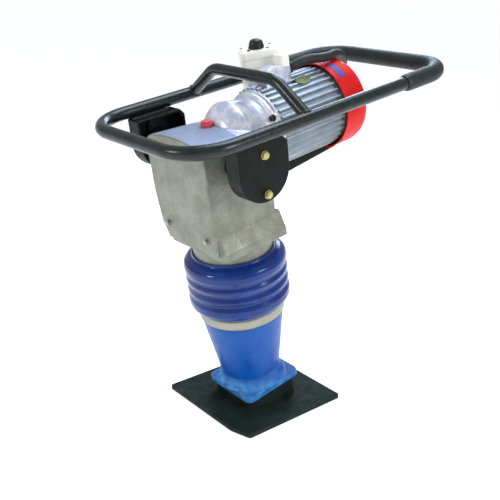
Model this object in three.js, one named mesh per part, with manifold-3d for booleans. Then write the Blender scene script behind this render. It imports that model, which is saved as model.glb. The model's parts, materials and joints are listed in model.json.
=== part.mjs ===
// Electric jumping jack rammer. Millimetres, +Z up, origin at the centre of the sole on the ground.
// -Y is the front (toe), +Y the operator's end, +X the machine's left-hand side seen from the operator's end.
// Everything above the shoe stands in one group that leans forward; in that group Z runs up the leg.

import * as THREE from 'three';
import { mergeVertices } from 'three/addons/utils/BufferGeometryUtils.js';
import Module from 'manifold-3d';

const wasm = await Module();
wasm.setup();

// ---- driving dimensions ----
const GAP = 0.3;
const LEAN = THREE.MathUtils.degToRad(11);
const SHOE = { halfWidth: 142, halfLength: 149, thick: 10, corner: 5, cutX: 92, cutY: -134 };
const PAD = { halfWidth: 70, front: -67, rear: 78, top: 45.7 };
const FLANGE = { halfWidth: 76, front: -73, rear: 85, corner: 15, bottom: 46, top: 64 };
const CONE = { footRadius: 69.3, footZ: 93, topRadius: 94.5, topZ: 245.7, floorZ: 80 };
const RING = { bottom: 246, top: 270, inner: 86.5, outerLow: 95.5, outerTop: 98 };
const TUBE = { inner: 46, outer: 52, bottom: 80.3, top: 366, cap: 374 };
const ROD = { radius: 9, pistonRadius: 45.5, pistonLow: 264, pistonTop: 278, forkLow: 409, forkFloor: 419, forkTop: 480 };
const SPRING = { coil: 36, wire: 4.2, sides: 5, stepsPerTurn: 10 };
const NECK = { radius: 88.5, skirtBottom: 392, top: 444, tubeInner: 56, tubeOuter: 62, tubeBottom: 262 };
const CASE = { front: -104, rear: 52, wall: 8, coverFront: -112, floorLow: 444.3, floorTop: 456, flareRear: 63, topSlope: 0.08, topPivot: -30 };
const CRANK = { z: 556, throwRadius: 16, gearTeeth: 50, pinionTeeth: 10, module: 88 / 30, rodLength: 106 };
const MOTOR = { z: 644, radius: 90, finRoot: 82.5, bore: 78.3, front: 112, rear: 285, fins: 36, coverEnd: 357 };
const NOSE = { front: -6, flange: 82, flangeFront: 96, cavity: 58, rear: 104.7, lugAt: 82, lugRadius: 9 };
const LUG_ANGLES = [60, 180, 300];
const HANDLE = { z: 708.3, slope: -0.0274, halfWidth: 187, front: -193.5, rear: 524.9, bend: 92, tube: 14 };
const HOOP = { y: 86, rise: 64, halfTop: 99, radius: 12.5, bend: 58 };
const GRIP = { start: 367, radius: 18.5 };
const HANGER = { y: -33, z: -71.8, radius: 61, top: -14.3, inner: 146, outer: 187, wall: 6, face: 8.3 };
const MOUNT_BOLTS = [-38.2, -117.2];
const BUFFER = { z: -75, radius: 29, waist: 25, plateInner: 172, plateHalfWidth: 22, plateLow: -124, plateHigh: -24 };
const BOX = { x: -48, y: 173, yaw: THREE.MathUtils.degToRad(-26), halfDepth: 20, halfLength: 38.5, top: 778.7, lidTop: 799 };
const TERMINAL = { left: -8, right: 22, front: 128, rear: 200, towerFront: 176, top: 788 };
const LEAD = { radius: 10, x: 12, y: 210, z: 755 };
const KNOB = { x: 3, y: -3 };

// ---- looks ----
const LOOKS = {
  shoeBlack: [0x23262a, 0.75, 0.2],
  legBlue: [0x1e6ac8, 0.4, 0.1],
  bellowsBlue: [0x1e4196, 0.35, 0.0],
  ringBeige: [0xafaf9e, 0.5, 0.3],
  castGrey: [0xa8a9a4, 0.5, 0.5],
  finGrey: [0xa5b0bd, 0.45, 0.5],
  steel: [0x9a9da0, 0.3, 0.9],
  springSteel: [0x55595e, 0.4, 0.8],
  bronze: [0xa8834a, 0.4, 0.8],
  copper: [0xa86b3c, 0.5, 0.7],
  frameBlack: [0x23292a, 0.35, 0.2],
  rubber: [0x1b1c1d, 0.85, 0.0],
  fanRed: [0xe03230, 0.4, 0.0],
  boxCream: [0xece8dc, 0.45, 0.0],
  knobBlack: [0x17181a, 0.4, 0.0],
  brass: [0xbeb45f, 0.35, 0.8],
};

// ---- solids ----
function weld(geometry) {
  const bare = geometry.clone();
  bare.deleteAttribute('normal');
  bare.deleteAttribute('uv');
  const merged = mergeVertices(bare, 1e-4);
  const source = merged.index.array;
  const point = merged.attributes.position;
  const kept = [];
  let volume = 0;
  const a = new THREE.Vector3();
  const b = new THREE.Vector3();
  const c = new THREE.Vector3();
  for (let i = 0; i < source.length; i += 3) {
    const [p, q, r] = [source[i], source[i + 1], source[i + 2]];
    if (p === q || q === r || r === p) continue;
    kept.push(p, q, r);
    a.fromBufferAttribute(point, p);
    b.fromBufferAttribute(point, q);
    c.fromBufferAttribute(point, r);
    volume += a.dot(b.cross(c));
  }
  if (volume < 0) {
    for (let i = 0; i < kept.length; i += 3) [kept[i], kept[i + 1]] = [kept[i + 1], kept[i]];
  }
  merged.setIndex(kept);
  return merged;
}

function solid(geometry) {
  const merged = weld(geometry);
  const mesh = new wasm.Mesh({
    numProp: 3,
    vertProperties: new Float32Array(merged.attributes.position.array),
    triVerts: new Uint32Array(merged.index.array),
  });
  return new wasm.Manifold(mesh);
}

function fromSolid(body) {
  const mesh = body.getMesh();
  const geometry = new THREE.BufferGeometry();
  geometry.setAttribute('position', new THREE.BufferAttribute(new Float32Array(mesh.vertProperties), 3));
  geometry.setIndex(new THREE.BufferAttribute(new Uint32Array(mesh.triVerts), 1));
  return geometry;
}

// adds every geometry of the first list and takes every geometry of the second away
function carve(added, removed = []) {
  let body = solid(added[0]);
  for (const extra of added.slice(1)) body = body.add(solid(extra));
  for (const cutter of removed) body = body.subtract(solid(cutter));
  return fromSolid(body);
}

// ---- shape helpers ----
function outline(points) {
  return new THREE.Shape(points.map(([x, y]) => new THREE.Vector2(x, y)));
}

// polygon whose corners are eased by a short curve
function easedOutline(corners, ease) {
  const shape = new THREE.Shape();
  corners.forEach(([x, y], i) => {
    const here = new THREE.Vector2(x, y);
    const before = new THREE.Vector2(...corners[(i + corners.length - 1) % corners.length]);
    const after = new THREE.Vector2(...corners[(i + 1) % corners.length]);
    const start = before.sub(here).setLength(ease).add(here);
    const end = after.sub(here).setLength(ease).add(here);
    if (i) shape.lineTo(start.x, start.y);
    else shape.moveTo(start.x, start.y);
    shape.quadraticCurveTo(x, y, end.x, end.y);
  });
  return shape;
}

function roundedRect(x0, y0, x1, y1, r) {
  const shape = new THREE.Shape();
  shape.moveTo(x0 + r, y0);
  shape.lineTo(x1 - r, y0);
  shape.absarc(x1 - r, y0 + r, r, -Math.PI / 2, 0, false);
  shape.absarc(x1 - r, y1 - r, r, 0, Math.PI / 2, false);
  shape.absarc(x0 + r, y1 - r, r, Math.PI / 2, Math.PI, false);
  shape.absarc(x0 + r, y0 + r, r, Math.PI, 1.5 * Math.PI, false);
  return shape;
}

function alongZ(shape, z0, z1, curveSegments = 5) {
  const geometry = new THREE.ExtrudeGeometry(shape, { depth: z1 - z0, bevelEnabled: false, curveSegments });
  return geometry.translate(0, 0, z0);
}

// the shape's X and Y become X and Z
function alongY(shape, y0, y1, curveSegments = 5) {
  const geometry = new THREE.ExtrudeGeometry(shape, { depth: y1 - y0, bevelEnabled: false, curveSegments });
  return geometry.rotateX(Math.PI / 2).translate(0, y1, 0);
}

// the shape's X and Y become Y and Z
function alongX(shape, x0, x1, curveSegments = 5) {
  const geometry = new THREE.ExtrudeGeometry(shape, { depth: x1 - x0, bevelEnabled: false, curveSegments });
  const turn = new THREE.Matrix4().makeBasis(
    new THREE.Vector3(0, 1, 0),
    new THREE.Vector3(0, 0, 1),
    new THREE.Vector3(1, 0, 0),
  );
  return geometry.applyMatrix4(turn).translate(x0, 0, 0);
}

// profile of [radius, height] pairs; closed unless it starts and ends on the axis
function turned(profile, segments, axis = 'z') {
  const points = profile.map(([r, h]) => new THREE.Vector2(r, h));
  const onAxis = profile[0][0] === 0 && profile[profile.length - 1][0] === 0;
  if (!onAxis) points.push(points[0].clone());
  const geometry = new THREE.LatheGeometry(points, segments);
  if (axis === 'z') geometry.rotateX(Math.PI / 2);
  if (axis === 'x') geometry.rotateZ(-Math.PI / 2);
  return geometry;
}

function rod(radius, low, high, segments, axis = 'z') {
  return turned([[0, low], [radius, low], [radius, high], [0, high]], segments, axis);
}

function pipe(inner, outer, low, high, segments, axis = 'z') {
  return turned([[inner, low], [outer, low], [outer, high], [inner, high]], segments, axis);
}

function block(x0, x1, y0, y1, z0, z1) {
  const geometry = new THREE.BoxGeometry(x1 - x0, y1 - y0, z1 - z0);
  return geometry.translate((x0 + x1) / 2, (y0 + y1) / 2, (z0 + z1) / 2);
}

// points of a polyline whose inner corners are rounded with the bend radius
function filleted(corners, bend, steps) {
  const out = [corners[0].clone()];
  for (let i = 1; i < corners.length - 1; i += 1) {
    const back = corners[i - 1].clone().sub(corners[i]).normalize();
    const ahead = corners[i + 1].clone().sub(corners[i]).normalize();
    const half = back.angleTo(ahead) / 2;
    const reach = bend / Math.tan(half);
    const centre = back.clone().add(ahead).normalize().multiplyScalar(bend / Math.sin(half)).add(corners[i]);
    const from = back.clone().multiplyScalar(reach).add(corners[i]).sub(centre);
    const to = ahead.clone().multiplyScalar(reach).add(corners[i]).sub(centre);
    const total = from.angleTo(to);
    for (let k = 0; k <= steps; k += 1) {
      const t = k / steps;
      const p = from.clone().multiplyScalar(Math.sin((1 - t) * total) / Math.sin(total));
      p.addScaledVector(to, Math.sin(t * total) / Math.sin(total));
      out.push(p.add(centre));
    }
  }
  out.push(corners[corners.length - 1].clone());
  return out;
}

// round bar through the points of a flat path; the flat's normal keeps every ring square to it
function bar(points, radius, sides, normal, closed) {
  const count = points.length;
  const position = [];
  const index = [];
  for (let i = 0; i < count; i += 1) {
    const before = points[closed ? (i + count - 1) % count : Math.max(i - 1, 0)];
    const after = points[closed ? (i + 1) % count : Math.min(i + 1, count - 1)];
    const here = points[i];
    const arrive = here.clone().sub(before).normalize();
    const leave = after.clone().sub(here).normalize();
    const tangent = arrive.clone().add(leave).normalize();
    const side = tangent.clone().cross(normal).normalize();
    const straight = arrive.lengthSq() > 0 && leave.lengthSq() > 0 ? tangent.dot(arrive) : 1;
    for (let k = 0; k < sides; k += 1) {
      const angle = (2 * Math.PI * k) / sides;
      const p = here.clone().addScaledVector(side, (Math.cos(angle) * radius) / straight);
      p.addScaledVector(normal, Math.sin(angle) * radius);
      position.push(p.x, p.y, p.z);
    }
  }
  const last = closed ? count : count - 1;
  for (let i = 0; i < last; i += 1) {
    for (let k = 0; k < sides; k += 1) {
      const a = i * sides + k;
      const b = i * sides + ((k + 1) % sides);
      const c = ((i + 1) % count) * sides + k;
      const d = ((i + 1) % count) * sides + ((k + 1) % sides);
      index.push(a, b, d, a, d, c);
    }
  }
  if (!closed) {
    for (let k = 1; k < sides - 1; k += 1) {
      const e = (count - 1) * sides;
      index.push(0, k + 1, k, e, e + k, e + k + 1);
    }
  }
  const geometry = new THREE.BufferGeometry();
  geometry.setAttribute('position', new THREE.Float32BufferAttribute(position, 3));
  geometry.setIndex(index);
  return geometry;
}

class Helix extends THREE.Curve {
  constructor(radius, low, high, turns) {
    super();
    Object.assign(this, { radius, low, high, turns });
  }

  getPoint(t, target = new THREE.Vector3()) {
    const angle = 2 * Math.PI * this.turns * t;
    const height = this.low + (this.high - this.low) * t;
    return target.set(this.radius * Math.cos(angle), this.radius * Math.sin(angle), height);
  }
}

function circle(radius, sides) {
  const points = [];
  for (let k = 0; k < sides; k += 1) {
    const angle = (2 * Math.PI * k) / sides;
    points.push([radius * Math.cos(angle), radius * Math.sin(angle)]);
  }
  return outline(points);
}

function coilSpring(low, high, turns) {
  const path = new Helix(SPRING.coil, low, high, turns);
  const steps = Math.round(turns * SPRING.stepsPerTurn);
  const section = circle(SPRING.wire, SPRING.sides);
  return new THREE.ExtrudeGeometry(section, { steps, extrudePath: path, bevelEnabled: false });
}

function toothed(teeth, module, firstAngle) {
  const pitch = (module * teeth) / 2;
  const root = pitch - 0.95 * module;
  const tip = pitch + 0.6 * module;
  const step = (2 * Math.PI) / teeth;
  const points = [];
  for (let i = 0; i < teeth; i += 1) {
    const mid = firstAngle + i * step;
    for (const [radius, share] of [[root, -0.27], [tip, -0.11], [tip, 0.11], [root, 0.27]]) {
      points.push([radius * Math.cos(mid + share * step), radius * Math.sin(mid + share * step)]);
    }
  }
  return outline(points);
}

function hexHead(across, low, high, axis) {
  return rod(across / Math.sqrt(3), low, high, 6, axis);
}

// ---- the assembly ----
const rammer = new THREE.Group();
const leaning = new THREE.Group();
const handleFrame = new THREE.Group();
leaning.rotation.x = LEAN;
handleFrame.position.z = HANDLE.z;
handleFrame.rotation.x = Math.atan(HANDLE.slope);
rammer.add(leaning);
leaning.add(handleFrame);

function piece(name, geometry, look, parent = leaning) {
  const [color, roughness, metalness] = LOOKS[look];
  const material = new THREE.MeshStandardMaterial({ color, roughness, metalness });
  const shape = weld(geometry);
  shape.computeVertexNormals();
  const mesh = new THREE.Mesh(shape, material);
  mesh.name = name;
  parent.add(mesh);
  return mesh;
}

// ---- foot ----
const SHOE_BOLTS = [[-52, -48], [52, -48], [-52, 60], [52, 60]];
const SHOE_BOLT = { shank: 6, hole: 6.3, head: 19, headHeight: 8, counterbore: 12.5, clear: 3.2, end: 59 };

function shoeBoltHead(y) {
  return -y * Math.tan(LEAN) + SHOE_BOLT.counterbore * Math.tan(LEAN) + SHOE_BOLT.clear;
}

function shoePlate() {
  const { halfWidth, halfLength, thick, corner, cutX, cutY } = SHOE;
  const corners = [[-halfWidth, -halfLength], [cutX, -halfLength], [halfWidth, cutY], [halfWidth, halfLength],
    [-halfWidth, halfLength]];
  const plate = solid(alongZ(easedOutline(corners, corner), 0, thick, 3));
  const lower = alongX(padSide(), -PAD.halfWidth, PAD.halfWidth);
  const padPlan = roundedRect(-PAD.halfWidth, PAD.front, PAD.halfWidth, PAD.rear, 20);
  const padColumn = alongZ(padPlan, -30, PAD.top).applyMatrix4(new THREE.Matrix4().makeRotationX(LEAN));
  let body = plate.add(solid(lower).intersect(solid(padColumn)));
  for (const [x, y] of SHOE_BOLTS) {
    const head = shoeBoltHead(y) + SHOE_BOLT.headHeight + GAP;
    for (const cutter of [rod(SHOE_BOLT.counterbore, -60, head, 20), rod(SHOE_BOLT.hole, -60, 80, 16)]) {
      body = body.subtract(solid(cutter.translate(x, y, 0).applyMatrix4(new THREE.Matrix4().makeRotationX(LEAN))));
    }
  }
  return fromSolid(body);
}

// side view of the wedge that sets the lean, from inside the plate up to the flange
function padSide() {
  const { front, rear, top } = PAD;
  const cos = Math.cos(LEAN);
  const sin = Math.sin(LEAN);
  const spread = 30;
  return outline([
    [front - spread, SHOE.thick / 2],
    [rear + spread, SHOE.thick / 2],
    [(rear + spread) * cos - top * sin, (rear + spread) * sin + top * cos],
    [(front - spread) * cos - top * sin, (front - spread) * sin + top * cos],
  ]);
}

function shoeBolt(y) {
  const low = shoeBoltHead(y);
  const high = low + SHOE_BOLT.headHeight;
  return carve([hexHead(SHOE_BOLT.head, low, high, 'z'), rod(SHOE_BOLT.shank, high - 1, SHOE_BOLT.end, 12)]);
}

function legCasting() {
  const wall = 8;
  const body = turned([
    [0, FLANGE.bottom + 4],
    [74, FLANGE.bottom + 4],
    [80, FLANGE.top],
    [75.5, FLANGE.top + 3],
    [72, FLANGE.top + 9],
    [70.2, FLANGE.top + 18],
    [CONE.footRadius, CONE.footZ],
    [CONE.topRadius, CONE.topZ],
    [CONE.topRadius - wall, CONE.topZ],
    [CONE.footRadius - wall, CONE.footZ],
    [60, CONE.floorZ],
    [0, CONE.floorZ],
  ], 32);
  const plan = roundedRect(-FLANGE.halfWidth, FLANGE.front, FLANGE.halfWidth, FLANGE.rear, FLANGE.corner);
  const flange = alongZ(plan, FLANGE.bottom, FLANGE.top);
  const holes = SHOE_BOLTS.map(([x, y]) => rod(SHOE_BOLT.hole, FLANGE.bottom - 2, SHOE_BOLT.end + 1, 16).translate(x, y, 0));
  return carve([body, flange], holes);
}

function clampRing() {
  const { bottom, top, inner, outerLow, outerTop } = RING;
  return turned([[inner, bottom], [outerLow, bottom], [outerTop, bottom + 5], [outerTop, top - 3],
    [outerTop - 3, top], [inner, top]], 40);
}

function bellowsSkin() {
  const outer = [[97, 270.3], [104, 275], [111.5, 281.5], [115, 290], [115, 303], [109.5, 314.5], [114.8, 325],
    [109.5, 338], [114.8, 351], [110, 362], [115, 373], [115, 383], [112.5, 391], [104, 398.5], [94.5, 403], [93, 408]];
  const inner = [[89.5, 408], [89.5, 399], [101, 392], [105.5, 385], [105.5, 292], [98, 281], [91, 275], [91, 270.3]];
  return turned([...outer, ...inner], 30);
}

function pistonRod() {
  const { radius, pistonRadius, pistonLow, pistonTop, forkLow, forkFloor, forkTop } = ROD;
  const arm = (y0, y1) => block(-12, 12, y0, y1, forkFloor - 1, forkTop);
  const core = turned([[0, pistonLow], [pistonRadius, pistonLow], [pistonRadius, pistonTop], [radius, pistonTop],
    [radius, forkLow], [17, forkLow], [17, forkFloor], [0, forkFloor]], 24);
  const hole = rod(7.2, -30, 30, 12, 'y').translate(0, 0, CRANK.z + CRANK.throwRadius - CRANK.rodLength);
  return carve([core, arm(-17, -10.5), arm(10.5, 17)], [hole]);
}

function buildFoot() {
  piece('shoe_plate', shoePlate(), 'shoeBlack', rammer);
  SHOE_BOLTS.forEach(([x, y], i) => {
    const bolt = piece(`shoe_bolt_${i + 1}`, shoeBolt(y), 'steel');
    bolt.position.set(x, y, 0);
  });
  piece('leg_casting', legCasting(), 'legBlue');
  piece('bellows_ring', clampRing(), 'ringBeige');
  piece('spring_tube', pipe(TUBE.inner, TUBE.outer, TUBE.bottom, TUBE.top, 32), 'steel');
  piece('spring_tube_cap', pipe(ROD.radius + 0.5, TUBE.outer, TUBE.top + GAP, TUBE.cap, 32), 'steel');
  piece('lower_spring', coilSpring(TUBE.bottom + 5, ROD.pistonLow - 5, 5), 'springSteel');
  piece('upper_spring', coilSpring(ROD.pistonTop + 5, TUBE.top - 5, 3), 'springSteel');
  piece('bellows', bellowsSkin(), 'bellowsBlue');
}

// ---- gear case ----
// front view of the case: the far lower corner is cut back, the near side runs straight down
function caseOutline(inset) {
  const i = inset;
  const shape = new THREE.Shape();
  shape.moveTo(-72 + i, 455 - (i ? 60 : 0));
  shape.lineTo(98 - i, 455 - (i ? 60 : 0));
  shape.lineTo(97 - i, 655);
  shape.quadraticCurveTo(96 - i, 676 - i, 74 - i, 682 - i);
  shape.quadraticCurveTo(0, 696 - i, -74 + i, 682 - i);
  shape.quadraticCurveTo(-96 + i, 676 - i, -97 + i, 655);
  shape.lineTo(-98 + i, 560);
  shape.lineTo(-89 + i, 489);
  shape.lineTo(-77 + i, 466);
  return shape;
}

// the top slopes down towards the rear
function caseBlock(inset, front, rear) {
  const body = alongY(caseOutline(inset), front, rear);
  const points = body.attributes.position;
  for (let i = 0; i < points.count; i += 1) {
    if (points.getZ(i) > 640) points.setZ(i, points.getZ(i) - CASE.topSlope * (points.getY(i) - CASE.topPivot));
  }
  return body;
}

function nose() {
  const { front, flange, flangeFront, rear } = NOSE;
  return turned([[0, front], [50, front], [60, 0], [67, 8], [76, 20], [82, 32], [80, 48], [76, 64], [73, 80], [75, 91],
    [flange, flangeFront], [flange, rear], [0, rear]], 36, 'y').translate(0, 0, MOTOR.z);
}

// three ears on the flange for the motor's fixing screws
function noseLugs() {
  const { lugAt, lugRadius, flangeFront, rear } = NOSE;
  return LUG_ANGLES.map((angle) => {
    const turn = THREE.MathUtils.degToRad(angle);
    return rod(lugRadius, flangeFront, rear, 16, 'y')
      .translate(lugAt * Math.sin(turn), 0, MOTOR.z + lugAt * Math.cos(turn));
  });
}

function gearCase() {
  const shell = caseBlock(0, CASE.front, CASE.rear);
  const floor = block(-72, 98, CASE.front + 6, CASE.flareRear, CASE.floorLow, CASE.floorTop);
  const flareSide = [[90, 500], [97, 498], [114.5, 460], [114.5, CASE.floorLow], [60, CASE.floorLow]];
  const flare = alongY(outline(flareSide), -102, CASE.flareRear);
  const boss = rod(26, 36, 50, 24, 'y').translate(0, 0, CRANK.z);
  const room = solid(caseBlock(CASE.wall, CASE.front - 5, CASE.rear - CASE.wall))
    .subtract(solid(block(-120, 120, -200, 100, 380, CASE.floorTop)));
  const hollow = turned([[0, -8], [34, -2], [50, 18], [NOSE.cavity, 36], [NOSE.cavity, 110], [0, 110]], 32, 'y');
  const passage = rod(NECK.tubeInner, 400, 470, 28);
  const bearingSeat = rod(19.3, 30, 48, 20, 'y').translate(0, 0, CRANK.z);
  let body = solid(shell).add(solid(floor)).add(solid(flare)).add(solid(nose()));
  for (const lug of noseLugs()) body = body.add(solid(lug));
  body = body.subtract(room).add(solid(boss).intersect(solid(block(-40, 40, 30, 51, 500, 620))));
  for (const cutter of [hollow.translate(0, 0, MOTOR.z), passage, bearingSeat]) body = body.subtract(solid(cutter));
  return fromSolid(body);
}

function frontCover() {
  const plate = caseBlock(0, CASE.coverFront, CASE.front - GAP);
  const boss = rod(24, CASE.front - 2, -90, 24, 'y').translate(0, 0, CRANK.z);
  const seat = rod(19.3, -108, -80, 20, 'y').translate(0, 0, CRANK.z);
  const holes = COVER_BOLTS.map(([x, z]) => rod(4.3, -120, -100, 10, 'y').translate(x, 0, z));
  return carve([plate, boss], [seat, ...holes]);
}

const FILLER = [-6, -19];
const COVER_BOLTS = [[-65, 491], [67, 485], [72, 670], [-72, 670]];

function coverBolt() {
  return carve([hexHead(13, -118, CASE.coverFront - GAP, 'y'), rod(4, -113, CASE.front - GAP, 10, 'y')]);
}

function guideCylinder() {
  const { radius, skirtBottom, top, tubeInner, tubeOuter, tubeBottom } = NECK;
  return turned([[tubeInner, tubeBottom], [tubeOuter, tubeBottom], [tubeOuter, top - 16], [radius - 7, top - 16],
    [radius - 7, skirtBottom], [radius, skirtBottom], [radius, top], [tubeInner, top]], 36);
}

function buildCase() {
  piece('gear_case', gearCase(), 'castGrey');
  piece('front_cover', frontCover(), 'castGrey');
  COVER_BOLTS.forEach(([x, z], i) => {
    const bolt = piece(`cover_bolt_${i + 1}`, coverBolt(), 'steel');
    bolt.position.set(x, 0, z);
  });
  const [plugX, plugY] = FILLER;
  const plug = carve([rod(11, 684, 694, 16), hexHead(20, 693, 703, 'z')]).translate(plugX, plugY, 0);
  piece('filler_plug', carve([plug], [caseBlock(-GAP, -120, 60), nose().translate(0, -GAP, 0)]), 'fanRed');
  piece('guide_cylinder', guideCylinder(), 'castGrey');
  piece('lower_guide_bush', pipe(TUBE.outer + GAP, NECK.tubeInner - GAP, 264, 284, 32), 'bronze');
  piece('upper_guide_bush', pipe(TUBE.outer + GAP, NECK.tubeInner - GAP, 298, 318, 32), 'bronze');
  piece('front_crank_bearing', pipe(10.3, 19, -107.7, -94, 20, 'y'), 'steel').position.set(0, 0, CRANK.z);
  piece('rear_crank_bearing', pipe(11.3, 19, 36.3, 47.6, 20, 'y'), 'steel').position.set(0, 0, CRANK.z);
}

// ---- crank drive ----
function crankshaft() {
  const pin = rod(9, -13, 13, 16, 'y').translate(0, 0, CRANK.throwRadius);
  return carve([rod(10, -106, -29, 16, 'y'), rod(34, -30, -12, 24, 'y'), pin, rod(34, 12, 17.7, 24, 'y'),
    rod(11, 17, 47, 16, 'y')]);
}

function connectingRod() {
  const { rodLength } = CRANK;
  const bigEnd = rod(19, -9, 9, 20, 'y');
  const smallEnd = rod(13, -9, 9, 16, 'y').translate(0, 0, -rodLength);
  const shank = block(-7, 7, -5, 5, -rodLength + 8, -12);
  const bores = [rod(9.4, -20, 20, 16, 'y'), rod(6.6, -20, 20, 16, 'y').translate(0, 0, -rodLength)];
  return carve([bigEnd, smallEnd, shank], bores);
}

function buildDrive() {
  const { z, throwRadius, gearTeeth, pinionTeeth, module, rodLength } = CRANK;
  piece('crankshaft', crankshaft(), 'steel').position.set(0, 0, z);
  const wheel = alongY(toothed(gearTeeth, module, Math.PI / 2), 18, 34);
  piece('crank_gear', carve([wheel], [rod(11.3, 0, 60, 20, 'y')]), 'steel').position.set(0, 0, z);
  piece('connecting_rod', connectingRod(), 'steel').position.set(0, 0, z + throwRadius);
  piece('wrist_pin', rod(6.2, -9.4, 9.4, 12, 'y'), 'steel').position.set(0, 0, z + throwRadius - rodLength);
  piece('piston_rod', pistonRod(), 'steel');
  const pinion = alongY(toothed(pinionTeeth, module, -Math.PI / 2 + Math.PI / pinionTeeth), 17, 36);
  const shaft = turned([[0, 35], [10, 35], [10, 139], [48, 140], [48, 262], [9, 263], [9, 325], [0, 325]], 16, 'y');
  piece('rotor_shaft', carve([pinion, shaft]), 'steel').position.set(0, 0, MOTOR.z);
}

// ---- motor ----
function finnedShell() {
  const { radius, finRoot, bore, front, rear, fins } = MOTOR;
  const points = [];
  for (let i = 0; i < fins; i += 1) {
    const mid = ((i + 0.5) * 2 * Math.PI) / fins;
    const step = (2 * Math.PI) / fins;
    for (const [r, share] of [[finRoot, -0.24], [radius, -0.15], [radius, 0.15], [finRoot, 0.24]]) {
      points.push([r * Math.cos(mid + share * step), r * Math.sin(mid + share * step)]);
    }
  }
  const shape = outline(points);
  shape.holes.push(new THREE.Path(circle(bore, 32).getPoints()));
  return alongY(shape, front, rear);
}

function fanCover() {
  const { rear, coverEnd } = MOTOR;
  const shell = turned([[94.8, rear + GAP], [98, rear + GAP], [98, 336], [95.5, 347], [88, 354.5], [77, coverEnd],
    [0, coverEnd], [0, 353.5], [75, 353.5], [85, 352], [92, 345], [94.8, 336]], 36, 'y');
  const slots = [];
  for (let i = 0; i < 8; i += 1) {
    slots.push(block(-5, 5, 340, 370, 24, 66).rotateY((i * Math.PI) / 4));
  }
  return carve([shell], slots);
}

function fan() {
  const blades = [];
  for (let i = 0; i < 7; i += 1) blades.push(block(-1.5, 1.5, 300, 322, 12, 78).rotateY((i * 2 * Math.PI) / 7));
  return carve([rod(16, 298, 322, 14, 'y'), rod(40, 298, 301.5, 28, 'y'), ...blades], [rod(9.4, 290, 330, 16, 'y')]);
}

function motorCradle() {
  const side = outline([[52.5, 496], [66, 502], [168, 529], [322, 541], [322, 545.7], [283, 545.7], [283, 550],
    [52.5, 550]]);
  return alongX(side, -17, 17);
}

// the motor's own terminal box, with a tower at its rear for the lead
function terminalSolids(gap) {
  const { left, right, front, rear, towerFront, top } = TERMINAL;
  const side = outline([[front - gap, 725], [front - gap, 752], [front + 6, 765 + gap], [front + 20, 771 + gap],
    [rear + gap, 763 + gap], [rear + gap, 725]]);
  const tower = alongZ(roundedRect(left + 2 - gap, towerFront - gap, right + gap, rear + gap, 5), 728, top + gap, 3);
  return [alongX(side, left - gap, right + gap), tower];
}

const statorTop = () => rod(MOTOR.radius + GAP, 90, 300, 48, 'y').translate(0, 0, MOTOR.z);

function terminalBox() {
  return carve(terminalSolids(0), [statorTop()]);
}

// shapes in the yawed frame of the switch box
function boxPlan(grow, corner) {
  const { halfDepth, halfLength } = BOX;
  return roundedRect(-halfDepth - grow, -halfLength - grow, halfDepth + grow, halfLength + grow, corner);
}

function intoBox(geometry) {
  const place = new THREE.Matrix4().makeTranslation(BOX.x, BOX.y, 0).multiply(new THREE.Matrix4().makeRotationZ(BOX.yaw));
  return geometry.applyMatrix4(place);
}

function switchBox() {
  const body = intoBox(alongZ(boxPlan(0, 7), 711, BOX.top, 3));
  const room = intoBox(alongZ(boxPlan(-4, 3), 752, BOX.top + 5, 3));
  return carve([body], [statorTop(), room, ...terminalSolids(GAP)]);
}

function switchLid() {
  const { top, lidTop } = BOX;
  const rim = alongZ(boxPlan(1.5, 8), top + GAP, lidTop - 3, 3);
  const crown = alongZ(boxPlan(-2, 8), lidTop - 4, lidTop, 3);
  return carve([intoBox(rim), intoBox(crown)], terminalSolids(GAP));
}

function switchKnob() {
  return turned([[0, 0], [17, 0], [17.5, 3.5], [15.8, 6], [15.2, 11], [12.5, 16.5], [7, 19.4], [0, 20]], 20);
}

function motorLead() {
  const path = new THREE.CatmullRomCurve3([
    [12, 210, 755], [15, 222, 758.5], [20, 240, 761.5], [23.5, 262, 760.5], [24, 291, 755.5], [20, 320, 752.5],
    [13, 346, 750.5], [5, 368, 742], [-8, 388, 724.5], [-26, 403, 701], [-52, 410, 674], [-80, 402, 650],
    [-102, 380, 636.5], [-115, 345, 631.5], [-116, 310, 632], [-113.5, 280, 633.5],
    [-112, 262, 633.5]].map((p) => new THREE.Vector3(...p)), false, 'centripetal');
  const section = circle(LEAD.radius, 10);
  return new THREE.ExtrudeGeometry(section, { steps: 30, extrudePath: path, bevelEnabled: false });
}

function leadGland() {
  return pipe(LEAD.radius + 2 * GAP, 14, TERMINAL.rear + GAP, LEAD.y - 2, 16, 'y');
}

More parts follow.
